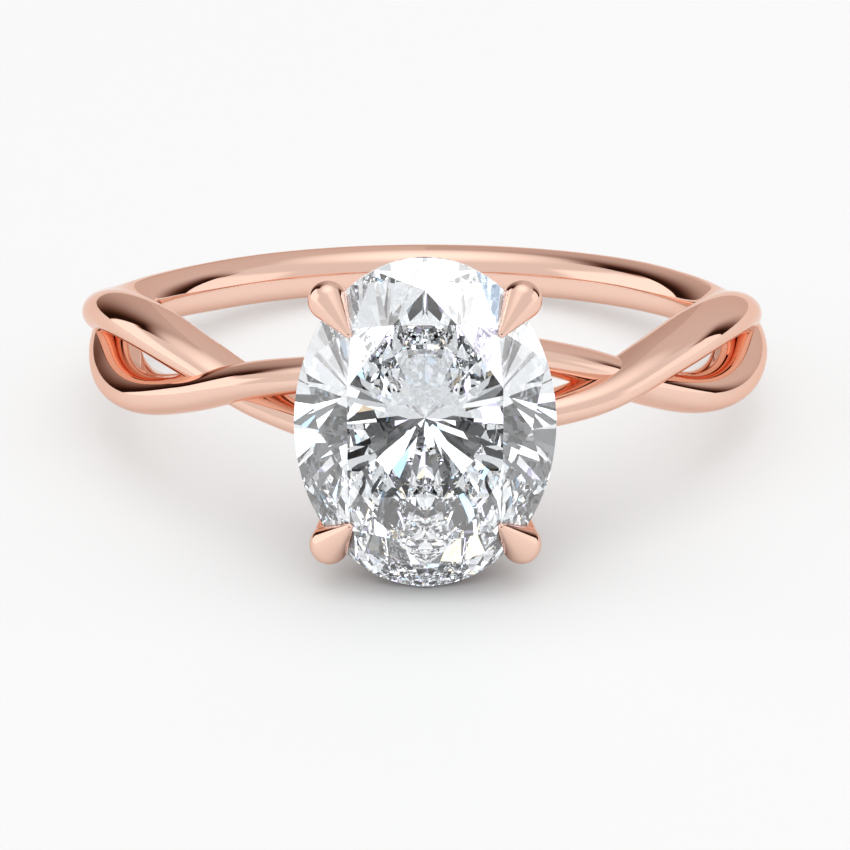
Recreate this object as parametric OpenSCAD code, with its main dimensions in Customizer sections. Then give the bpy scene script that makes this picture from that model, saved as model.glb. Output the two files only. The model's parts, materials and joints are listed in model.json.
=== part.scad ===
// Twisted shank ring lying on its side: a round-wire band that splits into two crossing strands,
// four claw prongs soldered where the strands meet, and an oval brilliant-cut stone.
// Millimetres, +Z up. The stone faces -Y. It touches the floor with the lower end of the stone's
// girdle and with the lower edge of the band, so the finger axis leans forward.

/* [Finger hole] */
// Inside diameter, where the finger goes
finger_d = 16.5; // [15.5:0.1:19]
// How far the wires' rounded inner sides would reach into the finger hole before it is bored
inner_trim = 0.05; // [0.03:0.01:0.12]

/* [Band] */
// Width of the band's wire along the finger axis
band_w = 1.48; // [1.2:0.02:1.8]
// Thickness of the band's wire from the finger hole outward
band_t = 1.56; // [1.3:0.02:1.9]

/* [Twist] */
// Angle on each side of the stone where a strand has joined the band
twist_reach = 135; // [120:1:145]
// Greatest height of a strand over the ring's middle plane
twist_rise = 0.97; // [0.8:0.01:1.2]
// Greatest shift of a strand inward or outward where the two cross
twist_shift = 0.38; // [0.2:0.01:0.5]
// Width of a strand at its loops beside the stone
strand_w = 1.24; // [1:0.02:1.4]
// Thickness of a strand at its loops, before the finger hole is bored
strand_t = 1.96; // [1.7:0.02:2.1]

/* [Stone] */
// Width of the stone across the ring
stone_w = 7; // [6.4:0.1:7.6]
// Length of the stone along the finger axis
stone_l = 9; // [8:0.1:10]
// Distance of the girdle's middle from the finger axis
girdle_out = 12.28; // [12.1:0.02:13]
// Thickness of the girdle
girdle_t = 0.2; // [0.19:0.01:0.3]
// Height of the crown over the girdle
crown_h = 1.04; // [0.8:0.02:1.3]
// Depth of the pavilion under the girdle
pavilion_h = 3.05; // [2.7:0.05:3.15]
// Width of the table from flat to flat, along the stone's width
table_w = 4.13; // [3.6:0.05:4.6]
// Length of the table from flat to flat, along the stone's length
table_l = 5.8; // [5.2:0.05:6]

/* [Claws] */
// Diameter of a claw's round heel
claw_d = 1.07; // [0.99:0.02:1.25]
// Diameter of a prong's wire under its claw
prong_d = 1; // [0.8:0.02:1.04]
// How much thicker than its wire the ball at a prong's bend is
knee_swell = 0.04; // [0.02:0.01:0.06]
// Diameter of a claw's point
point_d = 0.2; // [0.14:0.02:0.3]
// Distance of a claw's heel outside the girdle
heel_out = 0.18; // [0.1:0.01:0.35]
// Length of a claw from its heel to its point, along the stone's face
claw_reach = 0.89; // [0.74:0.05:1.14]
// Height of a claw's point over the girdle's middle
point_h = 0.95; // [0.75:0.02:1.05]
// Straight part of a prong behind its claw
prong_straight = 0.3; // [0.2:0.05:0.9]
// Half the distance between two prong feet across the ring
foot_x = 1.2; // [1:0.05:1.5]
// Clearance between the stone and the claws
stone_gap = 0.03; // [0.02:0.01:0.06]

/* [Hidden] */
$fn = 96;
rose_gold = [0.93, 0.72, 0.62];
diamond = [0.93, 0.95, 0.97];
finger_r = finger_d / 2;
band_r = finger_r - inner_trim + band_t / 2;  // circle of the band wire's centre
band_hw = band_w / 2;
band_ht = band_t / 2;
bore_l = 2 * (twist_rise + strand_w);
ring_steps = 120;
wire_sides = 18;
half_w = stone_w / 2;
half_l = stone_l / 2;
girdle_h = girdle_t / 2;

// Place in the ring of direction q, share s of the girdle's half axes and height h over its middle,
// with the whole stone grown by g
function on_stone(q, s, h, g = 0) =
    [(half_w + g) * s * cos(q), -(girdle_out + h), (half_l + g) * s * sin(q)];
// A corner of the stone, mirrored across and along by sx and sz
claw_at = 45.2;
mean_r = sqrt(half_w * half_l);
function corner(s, h, sx, sz) =
    let (p = on_stone(claw_at, s, h)) [sx * p[0], p[1], sz * p[2]];
heel_s = 1 + heel_out / mean_r;
tip_s = heel_s - claw_reach / mean_r;
heel_z = corner(heel_s, 0, 1, 1)[2];
tip_z = corner(tip_s, point_h, 1, 1)[2];

// How the ring lies: a line under it runs from the girdle's rear lower edge to the band's lower edge
reach_y = girdle_out - girdle_h + band_r;
tilt_tan = (reach_y * half_l - sqrt(pow(reach_y * half_l, 2)
    - (pow(reach_y, 2) - pow(band_ht, 2)) * (pow(half_l, 2) - pow(band_hw, 2))))
    / (pow(reach_y, 2) - pow(band_ht, 2));
tilt = atan(tilt_tan);
lift = band_r * sin(tilt) + sqrt(pow(band_ht * sin(tilt), 2) + pow(band_hw * cos(tilt), 2));
back_y = band_r * cos(tilt) + sqrt(pow(band_ht * cos(tilt), 2) + pow(band_hw * sin(tilt), 2));
table_front = (girdle_out + girdle_h + crown_h) * cos(tilt) + table_l / 2 * sin(tilt);
claw_front = (girdle_out + point_h) * cos(tilt) + tip_z * sin(tilt) + point_d / 2;
heel_front = girdle_out * cos(tilt) + heel_z * sin(tilt) + claw_d / 2;
front_y = max(table_front, claw_front, heel_front);
shift_y = (front_y - back_y) / 2;

module as_it_lies() {
    translate([0, shift_y, lift])
        rotate([-tilt, 0, 0])
            children();
}

// Way of a strand: height over the middle plane and shift outward, as shares of twist_rise and twist_shift,
// at equal steps from the left end of a strand (-twist_reach) to its right end.
WAY = [
    [0, 0], [0.05, 0.13], [0.17, 0.4], [0.55, 0.52], [1, 0.05], [0.96, -0.4],
    [0.37, -0.8], [-0.52, -1], [-1.1, -0.8], [-1, -0.25], [-0.66, 0.26], [-0.25, 0.52],
    [0.46, 0.16], [0.94, 0], [0.92, -0.08], [0.42, 0], [0, 0], [-0.04, 0.13], [0, 0]];
// Wire section at shares of the reach from the stone: angle share, half width and half thickness
// as shares of the loop's half width and half thickness.
WIRE = [[0, 0.66, 0.62], [0.222, 0.83, 0.94], [0.444, 0.96, 1], [0.667, 1.06, 0.8]];

function mix(a, b, f) = a + (b - a) * f;
// Smooth curve through rows i and i+1 of one column
function eased(rows, c, u) =
    let (n = len(rows) - 1, i = min(n - 1, max(0, floor(u))), f = u - i,
        p0 = rows[max(0, i - 1)][c], p1 = rows[i][c], p2 = rows[i + 1][c], p3 = rows[min(n, i + 2)][c])
    0.5 * (2 * p1 + (p2 - p0) * f + (2 * p0 - 5 * p1 + 4 * p2 - p3) * f * f
        + (3 * p1 - p0 - 3 * p2 + p3) * f * f * f);
function way(a, c) =
    abs(a) >= twist_reach ? 0 : eased(WAY, c, (a / twist_reach + 1) * (len(WAY) - 1) / 2);
function wire_at(a, c) =
    let (s = abs(a) / twist_reach, loop = c == 1 ? strand_w / 2 : strand_t / 2,
        end = c == 1 ? band_hw : band_ht, last = WIRE[3])
    s >= 1 ? end
    : s >= last[0] ? mix(last[c] * loop, end, (s - last[0]) / (1 - last[0]))
    : loop * lookup(s, [for (row = WIRE) [row[0], row[c]]]);
// Centre of the first strand at angle a from the stone, positive to the right
function centre(a) =
    let (r = band_r + twist_shift * way(a, 1))
    [r * sin(a), -r * cos(a), twist_rise * way(a, 0)];
function section(a, size) =
    let (t = centre(a + 0.5) - centre(a - 0.5), out = [sin(a), -cos(a), 0],
        n = cross(out, t), up = n / norm(n), c = centre(a), hw = size * wire_at(a, 1),
        ht = size * wire_at(a, 2))
    [for (k = [0 : wire_sides - 1])
        let (q = 360 * (k + 0.5) / wire_sides)
        c + out * ht * cos(q) + up * hw * sin(q)];

// The first strand runs right round and is the band too
module closed_strand() {
    rings = [for (i = [0 : ring_steps - 1]) section(-180 + 360 * i / ring_steps, 1)];
    points = [for (ring = rings) for (p = ring) p];
    faces = [for (i = [0 : ring_steps - 1]) for (k = [0 : wire_sides - 1])
        let (j = (i + 1) % ring_steps, m = (k + 1) % wire_sides,
            a = i * wire_sides + k, b = i * wire_sides + m, c = j * wire_sides + m, d = j * wire_sides + k)
        each [[a, b, c], [a, c, d]]];
    polyhedron(points, faces, convexity = 10);
}

// The second strand is the first turned half round the stone's axis; its ends sink into the band
module open_strand() {
    reach = twist_reach * 0.93;
    steps = ring_steps * 0.7;
    angles = [for (i = [0 : steps]) -reach + 2 * reach * i / steps];
    rings = [for (a = angles) section(a, abs(a) > twist_reach * 0.78
        ? 1 - 0.5 * (abs(a) / twist_reach - 0.78) / 0.15 : 1)];
    points = [for (ring = rings) for (p = ring) [-p[0], p[1], -p[2]]];
    side_faces = [for (i = [0 : steps - 1]) for (k = [0 : wire_sides - 1])
        let (m = (k + 1) % wire_sides, a = i * wire_sides + k, b = i * wire_sides + m,
            c = (i + 1) * wire_sides + m, d = (i + 1) * wire_sides + k)
        each [[a, b, c], [a, c, d]]];
    polyhedron(points, concat(side_faces,
        [[for (k = [wire_sides - 1 : -1 : 0]) k]],
        [[for (k = [0 : wire_sides - 1]) steps * wire_sides + k]]), convexity = 10);
}

// Oval brilliant cut: eight kites point at the girdle at 22.5 + 45 k degrees, and under it an even
// number of mains, each with two lower halves
pavilion_mains = 12;
main_angle = 360 / pavilion_mains;
star_rise = 0.72;
lower_share = 0.12;

// A kite's plane holds the girdle's tangent at its point and its own corner of the table. Its level at
// place p is 1 on that tangent.
function level(k, p, g) =
    p[0] * cos(45 * k + 22.5) / (half_w + g) + p[1] * sin(45 * k + 22.5) / (half_l + g);
function table_corner(k) =
    [table_w / 2 * cos(45 * k + 22.5), table_l / 2 * sin(45 * k + 22.5)] / cos(22.5);
// Where two neighbouring kites meet, star_rise of the way up to the table
function star_corner(k, g) =
    let (q1 = 45 * k - 22.5, q2 = 45 * k + 22.5, a = half_w + g, b = half_l + g,
        c1 = 1 - star_rise * (1 - level(k - 1, table_corner(k - 1), g)),
        c2 = 1 - star_rise * (1 - level(k, table_corner(k), g)), d = sin(q2 - q1) / (a * b))
    [(c1 * sin(q2) - c2 * sin(q1)) / b, (c2 * cos(q1) - c1 * cos(q2)) / a] / d;
function girdle_at(q, g) = [(half_w + g) * cos(q), (half_l + g) * sin(q)];
// Height at place p over the plane through three points, each [x, z, height]
function over(p, r, s, t) =
    let (n = cross(s - r, t - r)) r[2] - (n[0] * (p[0] - r[0]) + n[1] * (p[1] - r[1])) / n[2];
function at_height(p, h) = [p[0], p[1], h];
function in_ring(p, h) = [p[0], -(girdle_out + h), p[1]];

module stone_shape(g) {
    top = crown_h + g;
    bottom = -pavilion_h - g;
    rim = girdle_h + g;
    star_h = top * star_rise;
    lower_h = bottom * (1 - lower_share * cos(main_angle / 2));
    n = 8 * pavilion_mains;
    // The facets' points at the girdle lie on the two rims. Between them the facets' planes scallop the rims.
    function scallop(i, inner, h) =
        let (count = len(inner), arc = 180 / count, f = floor(i * 2 * count / n),
            k = floor((f + 1) / 2) % count)
        over(girdle_at(360 * i / n, g), at_height(inner[k], h), at_height(girdle_at(arc * f, g), 0),
            at_height(girdle_at(arc * (f + 1), g), 0));
    stars = [for (k = [0 : 7]) star_corner(k, g)];
    lowers = [for (k = [0 : pavilion_mains - 1]) lower_share * girdle_at(main_angle * k, g)];
    points = concat(
        [for (i = [0 : n - 1]) in_ring(girdle_at(360 * i / n, g), rim + scallop(i, stars, star_h))],
        [for (i = [0 : n - 1]) in_ring(girdle_at(360 * i / n, g), -rim + scallop(i, lowers, lower_h))],
        [for (k = [0 : 7]) in_ring(stars[k], rim + star_h)],
        [for (k = [0 : 7]) in_ring(table_corner(k), rim + top)],
        [for (p = lowers) in_ring(p, -rim + lower_h)],
        [in_ring([0, 0], -rim + bottom)]);
    star = 2 * n;
    table = star + 8;
    lower = table + 8;
    culet = lower + pavilion_mains;
    crown = [for (k = [0 : 7])
        let (j = (k + 1) % 8, arc = n / 16, r0 = 2 * arc * k, r1 = r0 + arc, r2 = r1 + arc)
        each [
            concat([star + k], [for (i = [r1 : -1 : r0]) i]),
            concat([star + j], [for (i = [r2 : -1 : r1]) i % n]),
            [table + k, star + j, r1, star + k],
            [table + k, table + j, star + j]]];
    pavilion = [for (k = [0 : pavilion_mains - 1])
        let (j = (k + 1) % pavilion_mains, arc = n / pavilion_mains / 2, r0 = 2 * arc * k,
            r1 = r0 + arc, r2 = r1 + arc)
        each [
            concat([lower + k], [for (i = [r0 : r1]) n + i]),
            concat([lower + j], [for (i = [r1 : r2]) n + i % n]),
            [culet, lower + k, n + r1, lower + j]]];
    wall = [for (i = [0 : n - 1]) let (j = (i + 1) % n) each [[i, j, n + j], [i, n + j, n + i]]];
    polyhedron(points, concat(crown, pavilion, wall, [[for (k = [7 : -1 : 0]) table + k]]),
        convexity = 4);
}

// Distance of a prong's foot from the finger axis
foot_out = finger_r + 0.6 * (strand_t / 2);

module rod(p, q, d) {
    v = q - p;
    translate(p)
        rotate([0, acos(v[2] / norm(v)), atan2(v[1], v[0])])
            cylinder(h = norm(v), d = d);
}

module claw(sx, sz) {
    heel = corner(heel_s, 0, sx, sz);
    tip = corner(tip_s, point_h, sx, sz);
    knee = heel + [0, prong_straight, 0];
    foot = [sx * foot_x, -foot_out, sz * twist_rise];
    hull() {
        translate(heel) sphere(d = claw_d, $fn = 32);
        translate(tip) sphere(d = point_d, $fn = 16);
    }
    rod(heel, knee, prong_d);
    translate(knee) sphere(d = prong_d + knee_swell);
    rod(knee, foot, prong_d);
}

module shank_and_claws() {
    color(rose_gold)
        as_it_lies()
            difference() {
                union() {
                    closed_strand();
                    open_strand();
                    for (sx = [-1, 1]) for (sz = [-1, 1]) claw(sx, sz);
                }
                cylinder(h = bore_l, d = finger_d, center = true);
                stone_shape(stone_gap);
            }
}

module oval_stone() {
    color(diamond) as_it_lies() stone_shape(0);
}

shank_and_claws();
oval_stone();
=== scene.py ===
import json
import math

import bmesh
import bpy
from mathutils import Matrix, Vector


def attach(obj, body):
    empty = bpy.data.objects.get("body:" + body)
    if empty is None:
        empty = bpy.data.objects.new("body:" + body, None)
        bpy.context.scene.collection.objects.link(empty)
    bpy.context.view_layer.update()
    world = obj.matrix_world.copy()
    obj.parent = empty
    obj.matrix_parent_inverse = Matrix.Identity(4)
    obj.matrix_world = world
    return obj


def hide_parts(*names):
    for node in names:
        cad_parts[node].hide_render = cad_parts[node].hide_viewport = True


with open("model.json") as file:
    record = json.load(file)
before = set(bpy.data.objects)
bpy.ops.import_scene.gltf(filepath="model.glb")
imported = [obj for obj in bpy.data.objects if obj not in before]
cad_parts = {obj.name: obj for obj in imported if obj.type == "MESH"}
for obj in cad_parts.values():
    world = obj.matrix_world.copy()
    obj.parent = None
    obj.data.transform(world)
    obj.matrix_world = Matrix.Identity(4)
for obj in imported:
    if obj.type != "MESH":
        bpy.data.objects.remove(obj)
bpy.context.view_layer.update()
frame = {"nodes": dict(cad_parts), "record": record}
print("frame loaded")

mm = 0.001
scene = bpy.context.scene
stoneNode = frame["nodes"]["oval_stone"]

# The finger hole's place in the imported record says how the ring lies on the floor
fingerHole = frame["record"]["mounts"][0]
holeAxis = Vector(fingerHole["axis"])
fingerRadius = fingerHole["dims"]["r_mm"] * mm
lean = math.atan2(holeAxis.y, holeAxis.z)
lies = Matrix.Translation(Vector(fingerHole["pos_m"])) @ Matrix.Rotation(-lean, 4, "X")


class Link:
    # a socket that takes part in sums, so node maths reads like a formula
    def __init__(self, bench, socket):
        self.bench = bench
        self.socket = socket

    def maths(self, operation, *others):
        return self.bench.add("ShaderNodeMath", {"operation": operation}, [self, *others])

    def reflected(self, operation, other):
        return self.bench.add("ShaderNodeMath", {"operation": operation}, [other, self])

    def __add__(self, other):
        return self.maths("ADD", other)

    def __radd__(self, other):
        return self.maths("ADD", other)

    def __sub__(self, other):
        return self.maths("SUBTRACT", other)

    def __rsub__(self, other):
        return self.reflected("SUBTRACT", other)

    def __mul__(self, other):
        return self.maths("MULTIPLY", other)

    def __rmul__(self, other):
        return self.maths("MULTIPLY", other)

    def __truediv__(self, other):
        return self.maths("DIVIDE", other)

    def __rtruediv__(self, other):
        return self.reflected("DIVIDE", other)

    def vector(self, operation, *others, out=0):
        return self.bench.add("ShaderNodeVectorMath", {"operation": operation}, [self, *others], out)

    def times(self, amount):
        # a vector times one number
        return self.bench.add("ShaderNodeVectorMath", {"operation": "SCALE"},
                              {0: self, "Scale": amount})


class Bench:
    # a node tree and the one way nodes are put into it
    def __init__(self, tree):
        self.tree = tree

    def add(self, kind, settings=None, values=None, out=0):
        node = self.tree.nodes.new(kind)
        for name, setting in (settings or {}).items():
            setattr(node, name, setting)
        if isinstance(values, (list, tuple)):
            values = dict(enumerate(values))
        for key, value in (values or {}).items():
            self.feed(node.inputs[key], value)
        return Link(self, node.outputs[out]) if len(node.outputs) else node

    def feed(self, socket, value):
        if isinstance(value, (list, tuple)) and value and isinstance(value[0], Link):
            for item in value:
                self.tree.links.new(item.socket, socket)
        elif isinstance(value, Link):
            self.tree.links.new(value.socket, socket)
        else:
            socket.default_value = value

    def named(self, kind, name):
        # a value stored on the geometry under a name
        return self.add("GeometryNodeInputNamedAttribute", {"data_type": kind}, {"Name": name})

    def store(self, geometry, name, kind, value):
        return self.add("GeometryNodeStoreNamedAttribute", {"data_type": kind, "domain": "POINT"},
                        {"Geometry": geometry, "Name": name, "Value": value})


def shapeTree(name, inputs):
    # a Geometry Nodes tree with one geometry in, one out, and named inputs for its sizes
    tree = bpy.data.node_groups.new(name, "GeometryNodeTree")
    tree.interface.new_socket("Geometry", in_out="INPUT", socket_type="NodeSocketGeometry")
    for label, kind in inputs:
        tree.interface.new_socket(label, in_out="INPUT", socket_type=kind)
    tree.interface.new_socket("Geometry", in_out="OUTPUT", socket_type="NodeSocketGeometry")
    bench = Bench(tree)
    entry = tree.nodes.new("NodeGroupInput")
    given = {socket.name: Link(bench, socket) for socket in entry.outputs if socket.name}
    return tree, bench, given


def endTree(bench, geometry, material):
    # instances made real and dressed, as the export needs them
    plain = bench.add("GeometryNodeRealizeInstances", None, {"Geometry": geometry})
    done = bench.add("GeometryNodeSetMaterial", None, {"Geometry": plain, "Material": material})
    bench.add("NodeGroupOutput", None, {"Geometry": done})


def grown(name, start, tree, values):
    # the tree's result on a starting mesh, as a plain mesh
    body = bpy.data.objects.new(name, start)
    scene.collection.objects.link(body)
    modifier = body.modifiers.new("shape", "NODES")
    modifier.node_group = tree
    for item in tree.interface.items_tree:
        if item.in_out == "INPUT" and item.name in values:
            modifier[item.identifier] = values[item.name]
    bpy.context.view_layer.update()
    depsgraph = bpy.context.evaluated_depsgraph_get()
    result = bpy.data.meshes.new_from_object(body.evaluated_get(depsgraph), depsgraph=depsgraph)
    body.modifiers.clear()
    bpy.data.objects.remove(body)
    return result


def emptyMaterial(name):
    material = bpy.data.materials.new(name)
    material.use_nodes = True
    material.node_tree.nodes.clear()
    return material, Bench(material.node_tree)


def noise(bench, scale, detail=2.0, roughness=0.5):
    place = bench.add("ShaderNodeTexCoord", out="Object")
    return bench.add("ShaderNodeTexNoise", None,
                     {"Vector": place, "Scale": scale, "Detail": detail, "Roughness": roughness})


def blend(bench, share, first, second):
    return bench.add("ShaderNodeMix", {"data_type": "RGBA"}, {0: share, 6: first, 7: second}, out=2)


# The metal's finish
polish = {
    "colour": (0.93, 0.645, 0.535, 1),
    "deeperColour": (0.91, 0.61, 0.49, 1),
    "grazingColour": (0.93, 0.76, 0.68, 1),     # keeps the outlines coppery before a white tent
    "roughness": 0.028,
    "smearRoughness": 0.024,      # added where the polish is a little smeared
    "smearScale": 320.0,
    "swirlScale": 2600.0,
    "swirlHeight": 0.0012 * mm,
    "swirlStrength": 0.12,
}


def polishedRoseGold():
    material, bench = emptyMaterial("polishedRoseGold")
    smear = noise(bench, polish["smearScale"], 4.0, 0.6)
    swirl = noise(bench, polish["swirlScale"], 3.0, 0.7)
    bump = bench.add("ShaderNodeBump", None, {
        "Strength": polish["swirlStrength"], "Distance": polish["swirlHeight"], "Height": swirl})
    shader = bench.add("ShaderNodeBsdfPrincipled", None, {
        "Base Color": blend(bench, smear, polish["colour"], polish["deeperColour"]),
        "Metallic": 1.0, "Normal": bump, "Specular Tint": polish["grazingColour"],
        "Roughness": polish["roughness"] + polish["smearRoughness"] * smear})
    bench.add("ShaderNodeOutputMaterial", None, {"Surface": shader})
    return material


# Strands and band
wire = {
    "innerTrim": 0.05 * mm,       # how far the rounded inner sides would reach into the finger hole
    "bandWidth": 1.48 * mm,
    "bandThickness": 1.56 * mm,
    "reach": 135.0,               # degrees from the stone where a strand has joined the band
    "rise": 0.97 * mm,            # greatest height of a strand over the ring's middle
    "shift": 0.38 * mm,           # greatest shift inward or outward where the two cross
    "loopWidth": 1.24 * mm,
    "loopThickness": 1.96 * mm,
    "softness": 0.16 * mm,        # rounding where the finger hole meets a strand's side
    "boredTo": 128,               # degrees from the stone where the finger hole stops trimming
    "boredFade": 30,              # degrees over which it does so
    "overReach": 0.93,            # share of the reach that the second strand has
    "overFrom": 0.78,             # share of the reach where its ends start to taper into the band
    "overFade": 0.15,
    "overTaper": 0.5,
    "rings": 420,
    "overRings": 0.7,             # share of the rings that the second strand has
    "sides": 56,
    "softRounds": 30,             # how often the tables' kinks are softened
}
# height and outward shift, as shares of rise and shift, at equal steps from one end to the other
strandWay = [
    (0, 0), (0.05, 0.13), (0.17, 0.4), (0.55, 0.52), (1, 0.05), (0.96, -0.4),
    (0.37, -0.8), (-0.52, -1), (-1.1, -0.8), (-1, -0.25), (-0.66, 0.26), (-0.25, 0.52),
    (0.46, 0.16), (0.94, 0), (0.92, -0.08), (0.42, 0), (0, 0), (-0.04, 0.13), (0, 0)]
# share of the reach, half width and half thickness as shares of the loop's
strandSection = [(0, 0.66, 0.62), (0.222, 0.83, 0.94), (0.444, 0.96, 1), (0.667, 1.06, 0.8)]


def eased(rows, column, u):
    # a smooth curve through one column of a table with equal steps
    last = len(rows) - 1
    i = min(last - 1, max(0, math.floor(u)))
    f = u - i
    p0, p1, p2, p3 = (rows[k][column] for k in (max(0, i - 1), i, i + 1, min(last, i + 2)))
    return 0.5 * (2 * p1 + (p2 - p0) * f + (2 * p0 - 5 * p1 + 4 * p2 - p3) * f * f
                  + (3 * p1 - p0 - 3 * p2 + p3) * f * f * f)


def wayAt(angle, column):
    # a strand's height (column 0) or outward shift (column 1), as a share
    if abs(angle) >= wire["reach"]:
        return 0.0
    return eased(strandWay, column, (angle / wire["reach"] + 1) * (len(strandWay) - 1) / 2)


def halfAt(angle, column):
    # half the width (column 1) or thickness (column 2), in straight runs that strandLine softens
    share = abs(angle) / wire["reach"]
    loop = (wire["loopWidth"] if column == 1 else wire["loopThickness"]) / 2
    band = (wire["bandWidth"] if column == 1 else wire["bandThickness"]) / 2
    if share >= 1:
        return band
    rows = [(row[0], row[column] * loop) for row in strandSection] + [(1, band)]
    for (start, first), (end, last) in zip(rows, rows[1:]):
        if share <= end:
            return first + (last - first) * (share - start) / (end - start)


def strandMiddle(angle):
    radius = (fingerRadius - wire["innerTrim"] + wire["bandThickness"] / 2
              + wire["shift"] * wayAt(angle, 1))
    turn = math.radians(angle)
    height = wire["rise"] * wayAt(angle, 0)
    return Vector((radius * math.sin(turn), -radius * math.cos(turn), height))


def smoothed(values, closed):
    # softens the kinks that a table leaves
    count = len(values)
    for _ in range(wire["softRounds"]):
        if closed:
            values = [(values[i - 1] + 2 * values[i] + values[(i + 1) % count]) / 4
                      for i in range(count)]
        else:
            values = [values[0]] + [(values[i - 1] + 2 * values[i] + values[i + 1]) / 4
                                    for i in range(1, count - 1)] + [values[-1]]
    return values


def strandLine(name, closed):
    rings = wire["rings"]
    if closed:
        angles = [-180 + 360 * i / rings for i in range(rings)]
        turned = 1
        sizes = [1] * rings
    else:
        # the second strand is the first one turned half round the stone's axis
        far = wire["reach"] * wire["overReach"]
        steps = round(rings * wire["overRings"])
        angles = [-far + 2 * far * i / steps for i in range(steps + 1)]
        turned = -1
        sizes = [1 - wire["overTaper"] * max(0, abs(a) / wire["reach"] - wire["overFrom"])
                 / wire["overFade"] for a in angles]
    wide = smoothed([halfAt(a, 1) for a in angles], closed)
    thick = smoothed([halfAt(a, 2) for a in angles], closed)
    points = [strandMiddle(a) for a in angles]
    points = [Vector((turned * p.x, p.y, turned * p.z)) for p in points]
    count = len(points)
    links = [(i, (i + 1) % count) for i in range(count if closed else count - 1)]
    line = bpy.data.meshes.new(name)
    line.from_pydata(points, links, [])
    columns = {
        "halfWide": [w * s for w, s in zip(wide, sizes)],
        "halfThick": [t * s for t, s in zip(thick, sizes)],
        "bored": [min(1.0, max(0.0, (wire["boredTo"] - abs(a)) / wire["boredFade"])) for a in angles],
    }
    for label, column in columns.items():
        line.attributes.new(label, "FLOAT", "POINT").data.foreach_set("value", column)
    return line


def strandTree():
    tree, bench, given = shapeTree("strandAlongItsLine", [
        ("Sides", "NodeSocketInt"), ("Finger Radius", "NodeSocketFloat"),
        ("Softness", "NodeSocketFloat"), ("Place", "NodeSocketVector"),
        ("Turn", "NodeSocketVector"), ("Metal", "NodeSocketMaterial")])
    line = bench.add("GeometryNodeMeshToCurve", None, {"Mesh": given["Geometry"]})
    middle = bench.add("GeometryNodeInputPosition")
    along = bench.add("GeometryNodeInputTangent")
    line = bench.store(line, "middle", "FLOAT_VECTOR", middle)
    line = bench.store(line, "along", "FLOAT_VECTOR", along)
    # the circle only gives the count of sides: every point is put in its place below
    profile = bench.add("GeometryNodeCurvePrimitiveCircle", None,
                        {"Resolution": given["Sides"], "Radius": 0.5 * mm})
    turnShare = bench.add("GeometryNodeInputIndex") / given["Sides"]
    profile = bench.store(profile, "round", "FLOAT", turnShare)
    tube = bench.add("GeometryNodeCurveToMesh", None,
                     {"Curve": line, "Profile Curve": profile, "Fill Caps": True})
    middle = bench.named("FLOAT_VECTOR", "middle")
    along = bench.named("FLOAT_VECTOR", "along")
    angle = bench.named("FLOAT", "round") * (2 * math.pi)
    outward = middle.vector("MULTIPLY", (1, 1, 0)).vector("NORMALIZE")
    upward = outward.vector("CROSS_PRODUCT", along).vector("NORMALIZE")
    thick = bench.named("FLOAT", "halfThick") * angle.maths("COSINE")
    wide = bench.named("FLOAT", "halfWide") * angle.maths("SINE")
    spot = middle.vector("ADD", outward.times(thick)).vector("ADD", upward.times(wide))
    tube = bench.add("GeometryNodeSetPosition", None, {"Geometry": tube, "Position": spot})
    # the finger hole takes the inner sides off, with a soft edge
    here = bench.add("GeometryNodeInputPosition")
    flat = here.vector("MULTIPLY", (1, 1, 0))
    radius = flat.vector("LENGTH", out="Value")
    bored = radius.maths("SMOOTH_MAX", given["Finger Radius"], given["Softness"])
    push = (bored - radius) * bench.named("FLOAT", "bored")
    tube = bench.add("GeometryNodeSetPosition", None,
                     {"Geometry": tube, "Offset": flat.vector("NORMALIZE").times(push)})
    tube = bench.add("GeometryNodeSetShadeSmooth", None, {"Geometry": tube, "Shade Smooth": True})
    for label in ("middle", "along", "round", "halfThick", "halfWide", "bored"):
        tube = bench.add("GeometryNodeRemoveAttribute", None, {"Geometry": tube, "Name": label})
    tube = bench.add("GeometryNodeTransform", None,
                     {"Geometry": tube, "Translation": given["Place"], "Rotation": given["Turn"]})
    endTree(bench, tube, given["Metal"])
    return tree


# Prongs and claws
claw = {
    "heelDiameter": 1.07 * mm,
    "prongDiameter": 1.0 * mm,
    "pointDiameter": 0.2 * mm,
    "corner": 45.2,               # direction of a claw from the stone's middle, on the girdle's oval
    "heelOut": 0.18 * mm,
    "reach": 0.89 * mm,
    "pointHeight": 0.95 * mm,
    "straight": 0.3 * mm,         # how far a prong runs straight back from its heel
    "footSide": 1.2 * mm,
    "footDepth": 0.3,             # how deep a foot goes into its strand, as a share of its thickness
    "bend": 0.5 * mm,
    "clearance": 0.03 * mm,
    "heelFacets": (48, 32),       # round and from pole to pole
    "pointFacets": (32, 20),
    "prongSides": 40,
    "sharpFrom": 35,              # degrees between faces that show as an edge
}
stone = {
    "halfWidth": 3.5 * mm,
    "halfLength": 4.5 * mm,
    "halfDepth": 2.1 * mm,
    "girdleOut": 12.28 * mm,      # from the finger's middle out to the girdle
    "middleIn": 0.9 * mm,         # from the girdle back to the middle of the depth
}


def stoneCorner(share, height):
    # a place over the girdle's oval, towards a claw
    turn = math.radians(claw["corner"])
    return Vector((stone["halfWidth"] * share * math.cos(turn), -stone["girdleOut"] - height,
                   stone["halfLength"] * share * math.sin(turn)))


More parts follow.
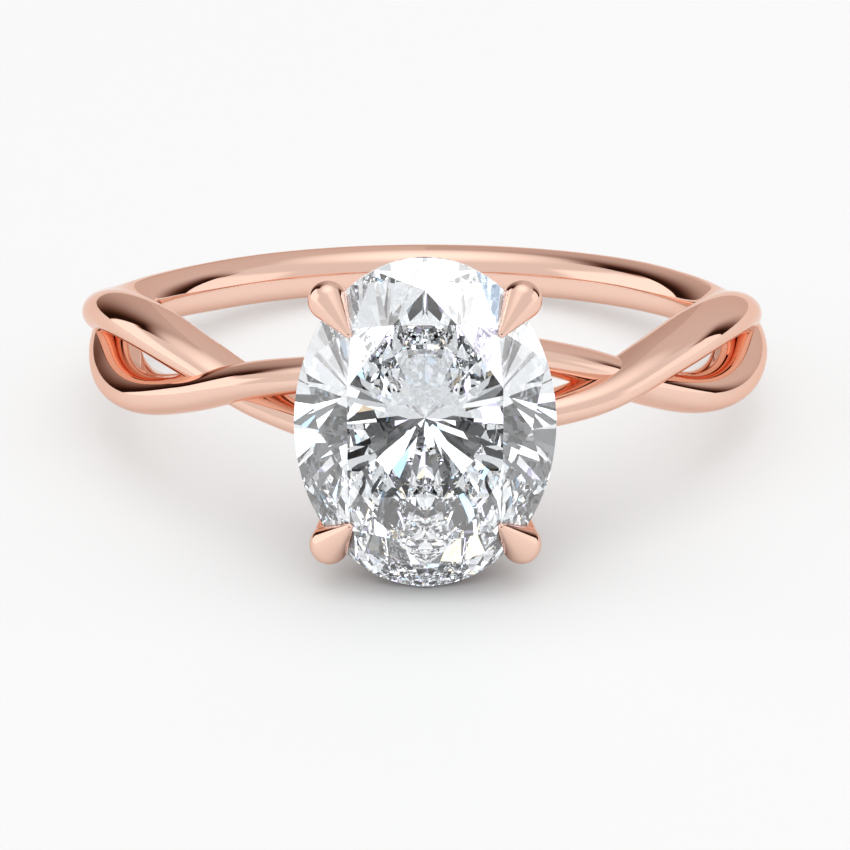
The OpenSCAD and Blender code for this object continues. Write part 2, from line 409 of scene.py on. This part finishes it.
def clawTree():
    tree, bench, given = shapeTree("clawOnItsProng", [
        ("Heel", "NodeSocketVector"), ("Point", "NodeSocketVector"),
        ("Heel Radius", "NodeSocketFloat"), ("Point Radius", "NodeSocketFloat"),
        ("Prong Radius", "NodeSocketFloat"), ("Bend", "NodeSocketFloat"),
        ("Place", "NodeSocketVector"), ("Turn", "NodeSocketVector"),
        ("Seat", "NodeSocketObject"), ("Metal", "NodeSocketMaterial")])
    balls = []
    for end, facets in (("Heel", claw["heelFacets"]), ("Point", claw["pointFacets"])):
        ball = bench.add("GeometryNodeMeshUVSphere", None, {
            "Segments": facets[0], "Rings": facets[1], "Radius": given[end + " Radius"]})
        balls.append(bench.add("GeometryNodeTransform", None,
                               {"Geometry": ball, "Translation": given[end]}))
    hook = bench.add("GeometryNodeJoinGeometry", None, {"Geometry": balls})
    hook = bench.add("GeometryNodeConvexHull", None, {"Geometry": hook})
    line = bench.add("GeometryNodeMeshToCurve", None, {"Mesh": given["Geometry"]})
    line = bench.add("GeometryNodeFilletCurve", {"mode": "POLY"},
                     {"Curve": line, "Radius": given["Bend"], "Count": 10})
    profile = bench.add("GeometryNodeCurvePrimitiveCircle", None,
                        {"Resolution": claw["prongSides"], "Radius": given["Prong Radius"]})
    prong = bench.add("GeometryNodeCurveToMesh", None,
                      {"Curve": line, "Profile Curve": profile, "Fill Caps": True})
    claws = bench.add("GeometryNodeMeshBoolean", {"operation": "UNION", "solver": "EXACT"},
                      {"Mesh 2": [hook, prong]})
    # mirrored across, then along, with the faces turned back outward
    for mirror in ((-1, 1, 1), (1, 1, -1)):
        other = bench.add("GeometryNodeTransform", None, {"Geometry": claws, "Scale": mirror})
        other = bench.add("GeometryNodeFlipFaces", None, {"Mesh": other})
        claws = bench.add("GeometryNodeJoinGeometry", None, {"Geometry": [claws, other]})
    claws = bench.add("GeometryNodeTransform", None,
                      {"Geometry": claws, "Translation": given["Place"], "Rotation": given["Turn"]})
    seat = bench.add("GeometryNodeObjectInfo", {"transform_space": "ORIGINAL"},
                     {"Object": given["Seat"]}, out="Geometry")
    claws = bench.add("GeometryNodeMeshBoolean", {"operation": "DIFFERENCE", "solver": "EXACT"},
                      {"Mesh 1": claws, "Mesh 2": [seat]})
    claws = bench.add("GeometryNodeSetShadeSmooth", None, {"Geometry": claws, "Shade Smooth": True})
    bent = bench.add("GeometryNodeInputMeshEdgeAngle")
    sharp = bench.add("FunctionNodeCompare", {"data_type": "FLOAT", "operation": "GREATER_THAN"},
                      {0: bent, 1: math.radians(claw["sharpFrom"])})
    claws = bench.add("GeometryNodeSetShadeSmooth", {"domain": "EDGE"},
                      {"Geometry": claws, "Selection": sharp, "Shade Smooth": False})
    endTree(bench, claws, given["Metal"])
    return tree


def seatCutter(gap):
    # the stone grown by the clearance, for cutting the seats into the claws
    cutter = stoneNode.data.copy()
    shape = bmesh.new()
    shape.from_mesh(cutter)
    bmesh.ops.remove_doubles(shape, verts=shape.verts, dist=0.001 * mm)
    inRing = lies.inverted()
    middle = Vector((0, -stone["girdleOut"] + stone["middleIn"], 0))
    grow = Vector([1 + gap / stone[half] for half in ("halfWidth", "halfDepth", "halfLength")])
    for vertex in shape.verts:
        vertex.co = lies @ (middle + (inRing @ vertex.co - middle) * grow)
    bmesh.ops.recalc_face_normals(shape, faces=shape.faces)
    shape.to_mesh(cutter)
    shape.free()
    body = bpy.data.objects.new("seatCutter", cutter)
    scene.collection.objects.link(body)
    return body


def buildMetal(metal):
    place = tuple(lies.translation)
    turn = tuple(lies.to_euler())
    tree = strandTree()
    sizes = {"Sides": wire["sides"], "Finger Radius": fingerRadius, "Softness": wire["softness"],
             "Place": place, "Turn": turn, "Metal": metal}
    meshes = [grown("strandRound", strandLine("lineRound", True), tree, sizes),
              grown("strandOver", strandLine("lineOver", False), tree, sizes)]
    print("strands swept", [len(mesh.polygons) for mesh in meshes])

    meanHalf = math.sqrt(stone["halfWidth"] * stone["halfLength"])
    heelShare = 1 + claw["heelOut"] / meanHalf
    heel = stoneCorner(heelShare, 0)
    point = stoneCorner(heelShare - claw["reach"] / meanHalf, claw["pointHeight"])
    knee = heel + Vector((0, claw["straight"], 0))
    foot = Vector((claw["footSide"], -(fingerRadius + claw["footDepth"] * wire["loopThickness"]),
                   wire["rise"]))
    bones = bpy.data.meshes.new("prongLine")
    bones.from_pydata([heel, knee, foot], [(0, 1), (1, 2)], [])
    cutter = seatCutter(claw["clearance"])
    meshes.append(grown("claws", bones, clawTree(), {
        "Heel": tuple(heel), "Point": tuple(point), "Heel Radius": claw["heelDiameter"] / 2,
        "Point Radius": claw["pointDiameter"] / 2, "Prong Radius": claw["prongDiameter"] / 2,
        "Bend": claw["bend"], "Place": place, "Turn": turn, "Seat": cutter, "Metal": metal}))
    bpy.data.objects.remove(cutter)
    print("claws cut", len(meshes[-1].polygons))

    joined = bmesh.new()
    for mesh in meshes:
        joined.from_mesh(mesh)
    bmesh.ops.recalc_face_normals(joined, faces=joined.faces)
    whole = bpy.data.meshes.new("shankAndClaws")
    joined.to_mesh(whole)
    joined.free()
    whole.materials.append(metal)
    piece = bpy.data.objects.new("shankAndClaws", whole)
    scene.collection.objects.link(piece)
    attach(piece, "root")
    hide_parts("shank_and_claws")
    # the light in the stone stays white, as in the photograph
    piece.visible_transmission = False


# The stone's material
crystal = {
    "colour": (0.915, 0.962, 1.0, 1),
    "clearerColour": (0.965, 0.985, 1.0, 1),
    "cloudScale": 420.0,
    "refraction": 2.417,
    "bounces": 40,                # how often light may be thrown back before it comes out
}


def cutDiamond():
    material, bench = emptyMaterial("cutDiamond")
    cloud = noise(bench, crystal["cloudScale"])
    shader = bench.add("ShaderNodeBsdfPrincipled", None, {
        "Base Color": blend(bench, cloud, crystal["colour"], crystal["clearerColour"]),
        "Roughness": 0.0, "IOR": crystal["refraction"], "Transmission Weight": 1.0})
    bench.add("ShaderNodeOutputMaterial", None, {"Surface": shader})
    return material


def dressStone(diamond):
    if not stoneNode.material_slots:
        stoneNode.data.materials.append(diamond)
    for holder in stoneNode.material_slots:
        holder.material = diamond


# The camera, by the photograph
view = {
    "photo": 850,                 # pixels across and down
    "distance": 130.0 * mm,
    "height": 13.0,               # degrees over the ring's own plane
    "focal": 4874.0,              # in pixels of the photograph
    "roll": -0.115,               # degrees
    "aim": (0, -12.32 * mm, 0),
    "middle": (425.2, 423.3),     # the pixel that it aims at
    "sensor": 36,
}


def towardsCamera():
    height = math.radians(view["height"])
    return (lies.to_3x3() @ Vector((0, -math.cos(height), math.sin(height)))).normalized()


def buildCamera():
    lens = bpy.data.cameras.new("camera")
    lens.sensor_width = view["sensor"]
    lens.lens = view["focal"] * view["sensor"] / view["photo"]
    lens.clip_start = 5 * mm
    lens.clip_end = 20
    lens.shift_x = -(view["middle"][0] - view["photo"] / 2) / view["photo"]
    lens.shift_y = (view["middle"][1] - view["photo"] / 2) / view["photo"]
    body = bpy.data.objects.new("camera", lens)
    back = towardsCamera()
    across = Vector((1, 0, 0))
    upward = back.cross(across)
    roll = Matrix.Rotation(math.radians(view["roll"]), 3, "Z")
    turn = Matrix((across, upward, back)).transposed() @ roll
    place = lies @ Vector(view["aim"]) + back * view["distance"]
    body.matrix_world = Matrix.Translation(place) @ turn.to_4x4()
    scene.collection.objects.link(body)
    scene.camera = body


def groupOf(name, body):
    # a collection of one object, for a lamp that lights it alone or is shaded by it alone
    group = bpy.data.collections.new(name)
    group.objects.link(body)
    return group


def sheetOf(name, corners, material):
    mesh = bpy.data.meshes.new(name)
    mesh.from_pydata(corners, [], [(0, 1, 2, 3)])
    mesh.materials.append(material)
    return bpy.data.objects.new(name, mesh)


paper = {
    "half": 3.0,
    "drop": 0.02 * mm,            # under the ring's lowest point
    "colour": (0.4, 0.4, 0.4, 1),
    "fibreScale": 900.0,
    "fibreHeight": 0.01 * mm,
    "lampLevel": 5.05,
    "lampColour": (0.985, 0.995, 1.0),
    "lampSpread": 100,            # degrees
    "lampTilt": 12,               # degrees
}


def buildFloor():
    material, bench = emptyMaterial("paperFloor")
    fibre = noise(bench, paper["fibreScale"], 3.0)
    bump = bench.add("ShaderNodeBump", None,
                     {"Strength": 0.05, "Distance": paper["fibreHeight"], "Height": fibre})
    shader = bench.add("ShaderNodeBsdfPrincipled", None, {
        "Base Color": paper["colour"], "Roughness": 0.6, "Specular IOR Level": 0.2, "Normal": bump})
    bench.add("ShaderNodeOutputMaterial", None, {"Surface": shader})
    half = paper["half"]
    corners = [(-half, -half, 0), (half, -half, 0), (half, half, 0), (-half, half, 0)]
    floor = sheetOf("floor", corners, material)
    floor.location = (0, 0, -paper["drop"])
    scene.collection.objects.link(floor)

    # a wide soft lamp overhead, for the paper alone, takes it to white; only the stone shades it, so
    # the thin metal's shadows stay as faint as in the photograph
    lamp = bpy.data.lights.new("overhead", "SUN")
    lamp.energy = paper["lampLevel"]
    lamp.color = paper["lampColour"]
    lamp.angle = math.radians(paper["lampSpread"])
    body = bpy.data.objects.new("overhead", lamp)
    body.rotation_euler = (math.radians(paper["lampTilt"]), 0, 0)
    body.light_linking.receiver_collection = groupOf("paperOnly", floor)
    body.light_linking.blocker_collection = groupOf("shadesPaper", stoneNode)
    scene.collection.objects.link(body)


card = {
    "halfWidth": 20 * mm,
    "top": 9 * mm,
    "away": 55 * mm,
    "colour": (0.012, 0.012, 0.012, 1),
    "roughness": 0.85,
    "grain": 0.1,                 # added to the roughness here and there
    "grainScale": 600.0,
}


def buildCard():
    # a black card in front of the ring, under the camera's view, for the stone's table to reflect
    material, bench = emptyMaterial("blackCard")
    grain = noise(bench, card["grainScale"])
    shader = bench.add("ShaderNodeBsdfPrincipled", None, {
        "Base Color": card["colour"], "Roughness": card["roughness"] + card["grain"] * grain,
        "Specular IOR Level": 0.1})
    bench.add("ShaderNodeOutputMaterial", None, {"Surface": shader})
    wide, high, away = card["halfWidth"], card["top"], card["away"]
    corners = [(-wide, -away, 0), (wide, -away, 0), (wide, -away, high), (-wide, -away, high)]
    body = sheetOf("blackCard", corners, material)
    scene.collection.objects.link(body)
    body.visible_camera = False
    body.visible_diffuse = False
    body.visible_shadow = False


sparkle = {
    "count": 60,
    "widest": 100.0,              # degrees from the stone's axis
    "step": 137.508,              # degrees from one lamp of the spiral to the next, the golden angle
    "radius": 18 * mm,
    "distance": 120 * mm,
    "level": 2.3,
    "lowest": 0.02,               # least height of a lamp, as a share of its distance
    "keepFromCamera": 20.0,       # degrees
    "tints": [(1, 1, 1), (0.72, 0.87, 1.0), (0.94, 0.97, 1.0), (1.0, 0.78, 0.52), (0.9, 0.95, 1.0),
              (0.46, 0.7, 1.0), (1, 1, 1), (0.86, 0.93, 1.0), (0.76, 0.68, 1.0)],
}


def buildSparkle():
    # a spiral of small lamps that only the stone sees, so that its facets flash white beside grey
    lit = groupOf("stoneOnly", stoneNode)
    turn = lies.to_3x3()
    middle = lies @ Vector((0, -stone["girdleOut"], 0))
    clear = math.radians(sparkle["keepFromCamera"])
    area = math.pi * sparkle["radius"] ** 2
    for i in range(sparkle["count"]):
        off = math.radians(sparkle["widest"] * math.sqrt((i + 0.5) / sparkle["count"]))
        about = i * math.radians(sparkle["step"])
        way = turn @ Vector((math.sin(off) * math.cos(about), -math.cos(off),
                             math.sin(off) * math.sin(about)))
        if way.z < sparkle["lowest"] or way.angle(towardsCamera()) < clear:
            continue
        lamp = bpy.data.lights.new("sparkle", "AREA")
        lamp.shape = "DISK"
        lamp.size = 2 * sparkle["radius"]
        lamp.energy = sparkle["level"] * math.pi * area
        lamp.color = sparkle["tints"][i % len(sparkle["tints"])]
        body = bpy.data.objects.new("sparkle", lamp)
        body.location = middle + way * sparkle["distance"]
        body.rotation_euler = way.to_track_quat("Z", "Y").to_euler()
        body.visible_camera = False
        body.visible_shadow = False
        body.light_linking.receiver_collection = lit
        scene.collection.objects.link(body)


tent = {
    "level": 0.82,                # where there is no patch
    "warmDark": (1, 0.42, 0.26, 1),
    "throughStone": 0.1,          # share of its light that the stone gathers between its own lamps
    # a patch on each row: its level, how warm its dark is, and the degrees at which its left, right,
    # lower and upper sides start and are full; 0 is where the camera stands, and right is positive
    "patches": [
        (0.6, 0.4, (-190, -189), (-110, -125), (-90, -89), (62, 50)),
        (0.7, 0.4, (110, 125), (190, 189), (-90, -89), (62, 50)),
        (1.35, 0, (-190, -189), (190, 189), (50, 84), (200, 199)),
        (0.02, 1, (-179, -133), (-120, -121), (-12, 0), (58, 44)),
        (0.02, 1, (108, 109), (146, 116), (-16, -3), (44, 30)),
        (1.25, 0, (-128, -126), (-58, -72), (-12, -4), (42, 32)),
        (1.12, 0, (58, 72), (113, 112), (-20, -10), (36, 28)),
        (0.03, 0, (-20, -18), (20, 18), (-30, -28), (33, 30)),
    ],
}


def fade(bench, value, start, end):
    # 0 at start, 1 at end, with soft shoulders
    return bench.add("ShaderNodeMapRange", {"interpolation_type": "SMOOTHSTEP"},
                     {"Value": value, "From Min": start, "From Max": end})


def buildTent():
    world = bpy.data.worlds.new("studioSky")
    world.use_nodes = True
    world.node_tree.nodes.clear()
    bench = Bench(world.node_tree)
    way = bench.add("ShaderNodeTexCoord", out="Generated")
    x, y, z = (bench.add("ShaderNodeSeparateXYZ", None, [way], out=axis) for axis in "XYZ")
    degrees = 180 / math.pi
    azimuth = x.maths("ARCTAN2", -1 * y) * degrees
    height = z.maths("ARCSINE") * degrees
    level = tent["level"]
    warmth = 0 * z
    for amount, warm, left, right, low, high in tent["patches"]:
        # each patch pulls the level towards its own
        weight = (fade(bench, azimuth, *left) * fade(bench, azimuth, *right)
                  * fade(bench, height, *low) * fade(bench, height, *high))
        level = level + (amount - level) * weight
        if warm:
            warmth = warmth.maths("MAXIMUM", weight * warm)
    tint = blend(bench, warmth * (1 - level), (1, 1, 1, 1), tent["warmDark"])
    gathered = bench.add("ShaderNodeLightPath", out="Is Transmission Ray")
    level = level * (1 - gathered * (1 - tent["throughStone"]))
    light = bench.add("ShaderNodeBackground", None, {"Color": tint, "Strength": level})
    bench.add("ShaderNodeOutputWorld", None, {"Surface": light})
    scene.world = world


buildMetal(polishedRoseGold())
dressStone(cutDiamond())
print("ring dressed")
buildFloor()
buildCard()
buildTent()
buildSparkle()
buildCamera()
scene.view_settings.view_transform = "Standard"
scene.view_settings.look = "None"
# what is thrown back inside the stone counts as glossy, so all three limits are high
for limit in ("max_bounces", "transmission_bounces", "glossy_bounces"):
    setattr(scene.cycles, limit, crystal["bounces"])
print("light and camera set")
